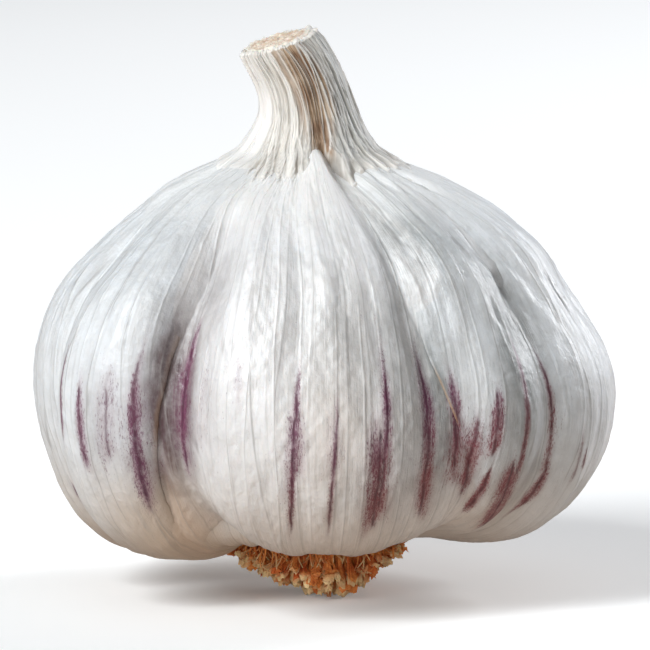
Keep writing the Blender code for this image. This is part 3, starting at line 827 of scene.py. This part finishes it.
# The rim turned in at the cut: size against the rim's own, and rise above it in mm.
RIM_RINGS = ((0.985, 0.16), (0.95, 0.30), (0.89, 0.32), (0.84, 0.18), (0.81, -0.1), (0.80, -0.9))


def neck_ring(height, radius, bearings):
    """Circle round the leaning centre line x = offset - lean * share^2, tilted by part of the slope."""
    rise = max(height - LEAN_START, 0.0) / LEAN_RUN
    lean = TILT_SHARE * math.atan(2.0 * LEAN / LEAN_RUN * rise)
    centre = np.array([NECK_OFFSET - LEAN * rise**2, 0.0, height])
    across = np.array([math.cos(lean), 0.0, math.sin(lean)])
    forward = np.array([0.0, 1.0, CUT_FORWARD * float(smooth_step(0.3, 1.0, rise))])
    turn = np.radians(bearings)[:, None]
    return centre + radius * (np.sin(turn) * across - np.cos(turn) * forward)


neck_turn = np.linspace(0.0, 7.0, NECK_COLUMNS, endpoint=False)
shoulder = []
for radius, lift in SHOULDER_RINGS:
    share = np.full(neck_turn.shape, share_at_radius(radius, above=True))
    bearing = bearing_at(neck_turn, share)
    shoulder.append(body_surface(neck_turn, share, lift + relief(bearing, share) + front_fold(bearing, share)))
around = shoulder[-1] - np.array([NECK_OFFSET, 0.0, 0.0])
neck_bearing = np.degrees(np.arctan2(around[:, 0], -around[:, 1]))
neck_rings = shoulder + [neck_ring(height, radius, neck_bearing) for radius, height in SHEATH_OUTLINE]
tube = curve_through(neck_rings, steps=18)
print("neck grid:", tube.shape[:2])


# %% Strands
STRAND_SEED, STRAND_COUNT = 5, 270
up = np.linspace(0.0, 1.0, len(tube))[:, None]
bearing = neck_bearing[None, :]
reach = np.hypot(tube[..., 0] - tube[..., 0].mean(axis=1)[:, None], tube[..., 1])
mm_per_degree = reach * math.pi / 180.0

# The hollow climbs from the parting at the foot, where the front skin comes up between the strands.
hollow_bearing = 6.0 + 9.0 * smooth_step(0.10, 0.45, up) + 10.0 * smooth_step(0.5, 1.0, up)
from_hollow = turned(bearing - hollow_bearing) * mm_per_degree
hollow = bell(from_hollow, 1.1 + 0.5 * smooth_step(0.5, 0.9, up)) * smooth_step(0.36, 0.52, up)
hollow = hollow * (1.0 - 0.8 * smooth_step(0.60, 0.95, up))
open_width = 0.3 + 2.3 * smooth_step(0.52, 0.25, up)
parting = 1.0 - smooth_step(open_width - 0.9, open_width + 0.6, np.abs(from_hollow))
parting = parting * smooth_step(0.56, 0.44, up)
# Painted shade: the neck's right side, away from the main light, is marked to be turned grey.
shaded_right_side = bell(turned(bearing - 70.0), 50.0)
spread = 12.0 * smooth_step(0.50, 0.20, up)
smooth_side = 1.0 - smooth_step(46.0 + spread, 64.0 + spread, np.abs(turned(bearing + 102.0)))
smooth_side = smooth_side * smooth_step(1.1, 0.62, up)
uneven = 0.035 * waves(bearing, up * 0, 57, (4, 26), 0.0)
floor_depth = 0.10 + 0.85 * smooth_step(0.38, 0.22, up + uneven)

rng = np.random.default_rng(STRAND_SEED)
strands = -floor_depth + np.zeros(tube.shape[:2])
for k in range(STRAND_COUNT):
    place = -180.0 + (k + rng.uniform(-0.6, 0.6)) * 360.0 / STRAND_COUNT
    wide = 0.045 + 0.10 * rng.uniform(0.0, 1.0) ** 1.5
    tall = wide * rng.uniform(0.3, 0.95)
    sway, bow = rng.uniform(-8.0, 8.0), rng.uniform(-5.0, 5.0)
    foot = rng.uniform(0.06, 0.44)
    foot = foot - 0.09 * bell(turned(place - 60.0), 45.0) + 0.20 * bell(turned(place - 30.0), 15.0)
    head = 1.2 if rng.uniform() < 0.6 else rng.uniform(0.45, 0.95)
    gathered = 1.0 - 0.42 * bell(place + 22.0, 26.0) * smooth_step(0.62, 0.22, up)
    path = place * gathered + sway * (up - 0.5) + bow * np.sin(math.pi * up * rng.uniform(0.8, 2.2))
    wriggle = rng.uniform(0.3, 1.4) * np.sin(rng.uniform(14, 30) * up + rng.uniform(0, 6))
    path = path + wriggle * smooth_step(0.2, 0.5, up)
    across = turned(bearing - path) * mm_per_degree
    taper = smooth_step(foot - 0.12, foot + 0.14, up)
    level = (tall * taper + floor_depth) * bell(across, wide * (0.45 + 0.65 * taper)) - floor_depth
    level = level - 0.32 * smooth_step(foot + 0.06, foot - 0.14, up)
    level = level - 0.4 * smooth_step(head - 0.05, head + 0.05, up)
    strands = np.maximum(strands, level)
strands = strands * (1.0 - 0.92 * smooth_side) - smooth_side * 0.6 * smooth_step(0.44, 0.08, up)
ridge = np.clip((strands + 0.10) / 0.26, 0.0, 1.0)
bundles = 0.15 * waves(bearing, up, 12, (4, 11), 1.2) * smooth_step(0.25, 0.5, up)
lips = bell(from_hollow - open_width - 0.35, 0.42) + 0.5 * bell(from_hollow + open_width + 0.3, 0.35)
lips = lips * smooth_step(0.16, 0.34, up) * smooth_step(0.62, 0.46, up)
strands = np.maximum(strands, (0.34 + floor_depth) * lips - floor_depth)
strands = strands + bundles - 0.55 * hollow - 2.6 * parting
sheath_grid = tube + normals_of(tube) * strands[..., None]
# Brown band at the front that widens upward, partly the brown of inner leaves and partly painted shade; random
# brown on the back.
brown_bearing = 11.0 + 7.0 * smooth_step(0.4, 0.95, up)
brown_and_shade_zone = bell(turned(bearing - brown_bearing), 10.0 + 25.0 * smooth_step(0.45, 0.9, up))
brown_and_shade_zone = brown_and_shade_zone * smooth_step(0.30, 0.5, up) * (0.75 + 0.25 * waves(bearing, up, 55, (5, 30), 3.0))
back_zone = 0.5 * np.clip(waves(bearing, up, 56, (2, 7), 1.5) - 0.4, 0.0, 1.0) * smooth_step(0.35, 0.6, up)
brown_and_shade_zone = np.clip(np.maximum(brown_and_shade_zone, back_zone * (np.abs(bearing) > 60)), 0.0, 1.0)
print("strands:", STRAND_COUNT, "lowest and highest in mm:", round(strands.min(), 2), round(strands.max(), 2))

# %% [markdown]
# ## Neck finish
# Strands are cream, the low ground between them grey to tan, partly its own colour and partly painted
# shade, and the deep hollow at the front is dark brown, partly where old inner leaves show and partly
# painted shade. The stored ridge height picks between strand and valley. Other stored numbers deepen
# the brown, paint shade on the right side as grey, and fade the foot to the skin's white.

# %% Neck material
neck_finish, w, shader = new_material(
    "neck_fibre_paper", Roughness=0.5, Subsurface_Weight=0.12, Subsurface_Scale=0.001,
    Subsurface_Radius=(1.0, 0.7, 0.5), Sheen_Weight=0.05,
)
fibre = w.group(fibre_group, Grain=w.vector("grain"))
strand_height, brown, low, grey_tone_and_shade = (w.value(label) for label in ("ridge", "brown", "low", "grey_tone_and_shade"))
mottle = w.noise(w.place(), 380.0, 4.0, 0.6)
# Colour by ridge height: low ground between strands is grey-tan, partly the inner leaves' colour and partly
# painted shade between the strands.
valley = w.mix(w.step(mottle, 0.35, 0.65), (0.42, 0.39, 0.35), (0.56, 0.535, 0.50))
colour = w.mix(w.step(strand_height, 0.1, 0.75), valley, (0.83, 0.795, 0.75))
# Painted shade: the neck's right side is turned grey, most in the low ground between strands.
colour = w.mix(w.times(grey_tone_and_shade, w.step(strand_height, 0.15, 0.95, 0.85, 0.35)), colour, (0.33, 0.345, 0.34))
colour = w.mix(w.step(fibre["Hairs"], 0.45, 0.72, 0.0, 0.45), colour, (0.52, 0.48, 0.43))
colour = w.mix(w.step(fibre["Bands"], 0.5, 0.75, 0.0, 0.3), colour, (0.66, 0.58, 0.48))
# Dark brown strongest on low ground: partly old inner leaves, partly painted shade in the front hollow and
# between strands.
deep_brown_and_shade = w.times(brown, w.step(strand_height, 0.85, 0.2, 0.16, 1.0))
deep_brown_and_shade_colour = w.mix(w.step(mottle, 0.38, 0.66), (0.24, 0.135, 0.075), (0.46, 0.33, 0.22))
colour = w.mix(w.step(deep_brown_and_shade, 0.0, 0.9), colour, deep_brown_and_shade_colour)
colour = w.mix(w.times(low, w.step(strand_height, 0.0, 0.7, 0.78, 0.97)), colour, (0.86, 0.84, 0.82))
w.plug(colour, shader.inputs["Base Color"])
w.bump(shader, w.times_plus(mottle, 0.5, fibre["Height"]), 0.8, 0.3 * MM)
print("neck finish:", neck_finish.name)

# %% Build the neck
rim_out = sheath_grid[-1]
centre = rim_out.mean(axis=0)
tilt = math.atan2(np.interp(90, neck_bearing, rim_out[:, 2]) - np.interp(-90, neck_bearing, rim_out[:, 2]),
                  np.ptp(rim_out[:, 0]))
up_neck = np.array([-math.sin(tilt), -CUT_FORWARD, math.cos(tilt)])
jag = 0.09 * waves(neck_bearing, 0.0, 17, (8, 60), 0.1)[:, None]
rim_rings = [centre + (rim_out - centre) * size + up_neck * (rise + jag * (rise > 0))
             for size, rise in RIM_RINGS]
neck_grid = np.concatenate([sheath_grid, np.stack(rim_rings)])
rows, columns = neck_grid.shape[:2]
extra = len(rim_rings)
# Brown with painted shade: the front band plus the hollow, and the turned-in rim at the cut.
neck_brown_and_shade = np.concatenate([brown_and_shade_zone + 0.6 * hollow, np.zeros((extra, columns)) + 0.12])
neck_brown_and_shade[-2:] = 0.6
no_rim = np.zeros((extra, columns))
turn = np.radians(neck_bearing)[None, :]
grain = np.broadcast_arrays(np.cos(turn) * 0.45, np.sin(turn) * 0.45, np.linspace(0, 1.0, rows)[:, None])
values = {
    "ridge": np.concatenate([ridge, np.repeat(ridge[-1:], extra, axis=0) * 0.5 + 0.45]).ravel(),
    "brown": neck_brown_and_shade.ravel(),
    # Painted shade on the neck's right side.
    "grey_tone_and_shade": np.concatenate([shaded_right_side * smooth_step(0.30, 0.52, up), no_rim]).ravel(),
    "low": np.concatenate([np.maximum(smooth_step(0.42, 0.2, up), smooth_side) + 0 * ridge, no_rim]).ravel(),
    "grain": np.stack(grain, axis=-1).reshape(-1, 3),
}
points, faces = closed_tube(neck_grid, (NECK_OFFSET, 0, 42.5), centre - up_neck * 0.9)
values = for_tips(values)
neck_leaves = make_piece("neck_leaves", points, faces, neck_finish, values)
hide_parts("neck_sheath")
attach(neck_leaves, "root")

# %% [markdown]
# ## Cut end of the stalk
# The knife left a flat tan face: pith with pale fibres end on, ringed by the tighter outer stem. It is
# a disc of rings, a little hollow in the middle and rough, whose sides go down into the neck.

# %% Pith finish and stalk
pith_finish, w, shader = new_material("stalk_pith_cut", Roughness=0.8, Subsurface_Weight=0.1,
                                      Subsurface_Scale=0.001)
place = w.place()
specks = w.noise(w.stretch(place, (1.0, 1.0, 0.4)), 2600.0, 3.0, 0.7)
cloud = w.noise(place, 700.0, 3.0, 0.6, 0.8)
colour = w.mix(w.step(cloud, 0.35, 0.65), (0.58, 0.42, 0.31), (0.80, 0.69, 0.58))
colour = w.mix(w.step(specks, 0.5, 0.7, 0.0, 0.7), colour, (0.93, 0.86, 0.76))
colour = w.mix(w.step(w.value("edge"), 0.82, 0.97), colour, (0.84, 0.77, 0.68))
w.plug(colour, shader.inputs["Base Color"])
w.bump(shader, specks, 0.8, 0.3 * MM)

PITH_RADIUS, PITH_TOP, FACE_RINGS = 3.38, 57.12, 22
SIDE_DROPS = (-9.0, -4.0, -0.5)
disc_bearing = np.linspace(-180.0, 180.0, 96, endpoint=False)
shares = np.concatenate([np.full(len(SIDE_DROPS), 1.0), np.linspace(1.0, 0.06, FACE_RINGS)])
drops = np.concatenate([SIDE_DROPS, np.zeros(FACE_RINGS)])
disc = []
for share, drop in zip(shares, drops):
    ring = neck_ring(PITH_TOP + drop, PITH_RADIUS * share, disc_bearing)
    if drop == 0:
        rough = 0.07 * waves(disc_bearing, share, 40, (1, 12), 4.0)
        rough = rough + 0.05 * waves(disc_bearing, share, 41, (9, 30), 9.0)
        ring = ring + up_neck * (0.14 * share**2 + rough * smooth_step(0.0, 0.3, share))[:, None]
    disc.append(ring)
disc = np.stack(disc)
points, faces = closed_tube(disc, disc[0].mean(axis=0), disc[-1].mean(axis=0))
edge = np.concatenate([np.repeat(shares, len(disc_bearing)), [1.0, 0.0]])
stalk_end = make_piece("stalk_end", points, faces, pith_finish, {"edge": edge})
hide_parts("stalk")
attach(stalk_end, "root")

# %% [markdown]
# ## Root plate
# Above the roots sits a corky disc. Hardly any of it shows between the root ends, so it is a turned
# section with a lumpy surface, in the brown of the roots but darker.

# %% Crust group, root finishes and root plate
crust_group, g, gi, go = new_group("root_crust", {"Place": "NodeSocketVector"}, ("Cloud", "Grit"))
g.plug(g.noise(gi["Place"], 420.0, 4.0, 0.65), go["Cloud"])
g.plug(g.noise(gi["Place"], 2600.0, 3.0, 0.7), go["Grit"])


def crust_material(name, dark, pale, tip):
    """Brown crust: a cloud between two browns, paler where the tip value is high, and dark grit."""
    material, w, shader = new_material(name, Roughness=0.78, Subsurface_Weight=0.08, Subsurface_Scale=0.0006)
    crust = w.group(crust_group, Place=w.place())
    colour = w.mix(w.step(crust["Cloud"], 0.38, 0.60), dark, pale)
    colour = w.mix(w.step(w.times(w.value("tip"), w.value("tone")), 0.2, 0.7), colour, tip)
    colour = w.mix(w.step(crust["Grit"], 0.5, 0.75, 0.0, 0.4), colour, dark)
    w.plug(colour, shader.inputs["Base Color"])
    w.bump(shader, crust["Grit"], 0.8, 0.3 * MM)
    return material


plate_finish = crust_material("root_plate_cork", (0.10, 0.045, 0.018), (0.24, 0.12, 0.05), (0.3, 0.16, 0.07))
root_finish = crust_material("root_dry", (0.64, 0.130, 0.022), (1.0, 0.37, 0.095), (1.0, 0.72, 0.38))
_, plate_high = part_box("root_plate")
plate_reach = plate_high.x / MM
# The turned section from the bottom up: share of the plate's radius, and height in mm.
PLATE_SECTION = ((0.03, 4.4), (0.68, 4.6), (0.90, 5.0), (0.99, 6.1), (1.0, 7.2), (0.93, 7.9), (0.03, 7.9))
section = curve_through(PLATE_SECTION, steps=5)
plate_bearing = np.linspace(-180, 180, 120, endpoint=False)
turn = np.radians(plate_bearing)[None, :]
lumps = 0.14 * waves(plate_bearing[None, :], section[:, 1:2] / 5, 50, (4, 30), 4.0)
span = section[:, :1] * plate_reach + lumps * section[:, :1] * 0.6
plate = np.stack([span * np.sin(turn), -span * np.cos(turn), section[:, 1:2] + lumps * 0.6], axis=-1)
points, faces = closed_tube(plate, (0, 0, 4.4), (0, 0, 7.9))
zeros = np.zeros(len(points))
root_disc = make_piece("root_disc", points, faces, plate_finish, {"tip": zeros, "tone": zeros + 0.5})
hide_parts("root_plate")
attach(root_disc, "root")

# %% [markdown]
# ## Root ends
# Trimmed, dried roots are brittle stubs, each with a ragged pale knob where it broke. A few hundred are
# made at once: every stub is a short tube of rings, and all tubes are one array. Their feet stand in the
# spiral of a sunflower head, which fills a disc evenly, and their tips end on a shallow bowl.

# %% Build the root ends
ROOT_SEED, ROOT_COUNT, ROOT_SIDES = 77, 430, 6
TUFT_LEFT, TUFT_REACH = -0.5, 9.8
GOLDEN_ANGLE = 137.50776


def tuft_underside(x, y):
    """Height of the tuft's lower face: flat by the middle, then rising, faster to the right."""
    aside = x - 1.4
    away = np.hypot(aside * np.where(aside > 0, 1.65, 0.95), y + 2.6)
    return 0.46 * np.maximum(away - 3.1, 0.0) ** 1.05


def tubes(line, width, sides, rng, rough, facets):
    """Closed tubes round many centre lines at once: line + width * roughness * spoke, rings tip first."""
    spin = np.linspace(0, 2 * math.pi, sides, endpoint=False)
    spoke = np.stack([np.sin(spin), -np.cos(spin), 0 * spin], axis=-1)
    wall = width[..., None] * rng.uniform(1 - rough, 1 + rough, (*width.shape, sides))
    skin = line[:, :, None, :] + wall[..., None] * spoke
    skin[..., 2] += rng.uniform(-facets, facets, skin.shape[:-1]) * np.minimum(width / 0.3, 1.0)[..., None]
    skin = np.maximum(skin, [-99, -99, 0.0])[:, ::-1]
    caps = np.stack([line[:, -1], line[:, 0]], axis=1)
    rings = line.shape[1]
    per = rings * sides + 2
    points = np.concatenate([skin.reshape(len(line), -1, 3), caps], axis=1).reshape(-1, 3)
    one = np.array([
        *[[*f] for f in grid_faces(rings, sides).tolist()],
        *[[*f, -1] for f in fan(np.arange(sides), per - 2, outward=False).tolist()],
        *[[*f, -1] for f in fan(np.arange(sides) + (rings - 1) * sides, per - 1).tolist()],
    ])
    faces = [[c + k * per for c in face if c >= 0] for k in range(len(line)) for face in one.tolist()]
    return points, faces, per


rng = np.random.default_rng(ROOT_SEED)
order = np.arange(ROOT_COUNT)
tip_reach = TUFT_REACH * np.sqrt((order + 0.5) / ROOT_COUNT) + rng.normal(0, 0.15, ROOT_COUNT)
heading = order * math.radians(GOLDEN_ANGLE) + rng.normal(0, 0.06, ROOT_COUNT)
tip_x, tip_y = TUFT_LEFT + tip_reach * np.sin(heading), -tip_reach * np.cos(heading)
tip_height = tuft_underside(tip_x, tip_y) + 1.1 * rng.uniform(0.0, 1.0, ROOT_COUNT) ** 1.5
# Rings of a stub from the plate to its tip: share of the way, and girth against the stub's size.
share = np.array([0.0, 0.35, 0.62, 0.78, 0.90, 1.0])
girth = np.array([0.55, 0.6, 0.75, 1.35, 1.45, 0.8])
size = rng.uniform(0.24, 0.44, ROOT_COUNT)
bend = rng.normal(0, 0.25, (2, ROOT_COUNT, 1)) * share
line = np.stack([
    tip_x[:, None] * (0.78 + 0.22 * share**1.4) + bend[0],
    tip_y[:, None] * (0.78 + 0.22 * share**1.4) + bend[1],
    5.0 + (tip_height[:, None] - 5.0) * share,
], axis=-1)
points, faces, per_stub = tubes(line, size[:, None] * girth, ROOT_SIDES, rng, 0.5, 0.36)
tip_value = np.concatenate([np.repeat(share[::-1], ROOT_SIDES), [1.0, 0.0]]) ** 3
stub_tone = np.repeat(rng.uniform(0.1, 1.4, ROOT_COUNT), per_stub)
values = {"tip": np.tile(tip_value, ROOT_COUNT), "tone": stub_tone}
root_ends = make_piece("root_ends", points, faces, root_finish, values, smooth=False)
root_nodes = [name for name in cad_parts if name.startswith("root_") and name != "root_plate"]
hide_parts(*root_nodes)
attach(root_ends, "root")

# %% [markdown]
# ## Thin roots
# Between the stubs hang finer roots that the knife missed. Each is a tapering tube of six rings that
# leaves the plate's rim, wanders outward and droops, but never below the tuft's lower face.

# %% Thin root fibres
FIBRE_COUNT, FIBRE_SIDES = 420, 4
rng = np.random.default_rng(ROOT_SEED + 1)
heading = rng.uniform(0, 2 * math.pi, FIBRE_COUNT)
start = rng.uniform(6.2, 8.9, FIBRE_COUNT)
share = np.linspace(0.0, 1.0, 6)
out = rng.uniform(0.1, 1.5, FIBRE_COUNT)[:, None] * share
drop = rng.uniform(1.2, 3.6, FIBRE_COUNT)[:, None] * share**1.3
aside = rng.normal(0, 0.09, FIBRE_COUNT)[:, None] * share**2 + heading[:, None]
reach = start[:, None] + out + 0.15 * np.sin(7 * share + rng.uniform(0, 6, FIBRE_COUNT)[:, None])
x, y = TUFT_LEFT + reach * np.sin(aside), -reach * np.cos(aside)
lowest = tuft_underside(x, y) + 0.15
line = np.stack([x, y, np.maximum(6.0 - drop, lowest)], axis=-1)
width = rng.uniform(0.07, 0.15, FIBRE_COUNT)[:, None] * np.array([1.0, 1.0, 0.95, 0.85, 0.7, 0.4])
points, faces, per_fibre = tubes(line, width, FIBRE_SIDES, rng, 0.25, 0.03)
tip_value = np.concatenate([np.repeat(share[::-1], FIBRE_SIDES), [1.0, 0.0]]) ** 2 * 0.8
fibre_tone = np.repeat(rng.uniform(0.2, 1.3, FIBRE_COUNT), per_fibre)
values = {"tip": np.tile(tip_value, FIBRE_COUNT), "tone": fibre_tone}
root_fibres = make_piece("root_fibres", points, faces, root_finish, values)
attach(root_fibres, "root")

# %% [markdown]
# ## Floor, light and camera
# A pale floor and large soft lights show the satin skin without hard glints. The main light stands high
# at the front left, which leaves the right side of each lobe in shade. The camera has a long lens and
# looks slightly down, so the bulb keeps its true proportions. The floor shows the camera a brighter face
# than the one that it bounces up to the bulb, so it reads as clean paper and doesn't light the underside.

# %% Floor and world
floor_mesh = bpy.data.meshes.new("floor")
floor_mesh.from_pydata([(-6, -6, 0), (6, -6, 0), (6, 6, 0), (-6, 6, 0)], [], [(0, 1, 2, 3)])
floor_finish, w, shader = new_material("floor_matt", Roughness=0.9, Emission_Strength=1.0)
shade = w.noise(w.place(), 3.0, 2.0)
seen = w.mix(shade, (0.93, 0.93, 0.93), (0.97, 0.97, 0.97))
bounced = w.mix(shade, (0.50, 0.44, 0.39), (0.54, 0.48, 0.43))
to_camera = w.add("ShaderNodeLightPath").outputs["Is Camera Ray"]
w.plug(w.mix(to_camera, bounced, seen), shader.inputs["Base Color"])
w.plug(w.mix(to_camera, (0.0, 0.0, 0.0), (0.13, 0.125, 0.12)), shader.inputs["Emission Color"])
floor_mesh.materials.append(floor_finish)
floor = add_object("floor", floor_mesh)
floor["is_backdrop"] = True

world = bpy.data.worlds.new("studio")
bpy.context.scene.world = world
world.use_nodes = True
sky = world.node_tree.nodes["Background"].inputs
sky["Color"].default_value, sky["Strength"].default_value = (0.90, 0.95, 1.0, 1.0), 0.17
bpy.context.scene.view_settings.view_transform = "Standard"
print("floor:", floor.name, "sky strength:", sky["Strength"].default_value)


# %% Lights
def softbox(name, bearing, elevation, distance, size, power, colour):
    """Oblong area light, as wide and tall as size says, aimed at the bulb from a bearing and an elevation."""
    lamp = bpy.data.lights.new(name, "AREA")
    lamp.shape = "RECTANGLE"
    lamp.size, lamp.size_y = size
    lamp.energy = power
    lamp.color = colour
    obj = add_object(name, lamp)
    b, e = math.radians(bearing), math.radians(elevation)
    obj.location = (distance * math.sin(b) * math.cos(e), -distance * math.cos(b) * math.cos(e),
                    distance * math.sin(e) + 0.025)
    obj.rotation_euler = (math.pi / 2 - e, 0.0, b)
    print(name, "watts:", power)


softbox("key_light", -48.0, 37.0, 1.2, (0.32, 0.7), 15.4, (0.95, 0.985, 1.0))
softbox("rim_light", 126.0, 24.0, 1.2, (0.4, 0.7), 12.0, (0.95, 0.97, 1.0))
softbox("low_light", -8.0, 2.0, 1.2, (0.7, 0.3), 3.3, (1.0, 0.94, 0.88))

# %% Camera
VIEW_WIDTH, VIEW_HEIGHT, ELEVATION, DISTANCE = 67.3 * MM, 27.6 * MM, 8.0, 0.7
SENSOR_WIDTH, SIDEWAYS = 36.0, 0.35 * MM
camera_data = bpy.data.cameras.new("camera")
camera_data.sensor_width = SENSOR_WIDTH
camera_data.lens = SENSOR_WIDTH * DISTANCE / VIEW_WIDTH
camera_data.clip_start, camera_data.clip_end = 0.05, 30.0
camera = add_object("camera", camera_data)
down = math.radians(ELEVATION)
camera.location = (SIDEWAYS, -DISTANCE * math.cos(down), VIEW_HEIGHT + DISTANCE * math.sin(down))
camera.rotation_euler = (math.pi / 2 - down, 0.0, 0.0)
bpy.context.scene.camera = camera
print("lens in mm:", round(camera_data.lens, 1))

# %% Print the visual box
low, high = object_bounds()
print("visual box in mm:", [round(side / MM, 1) for side in high - low])
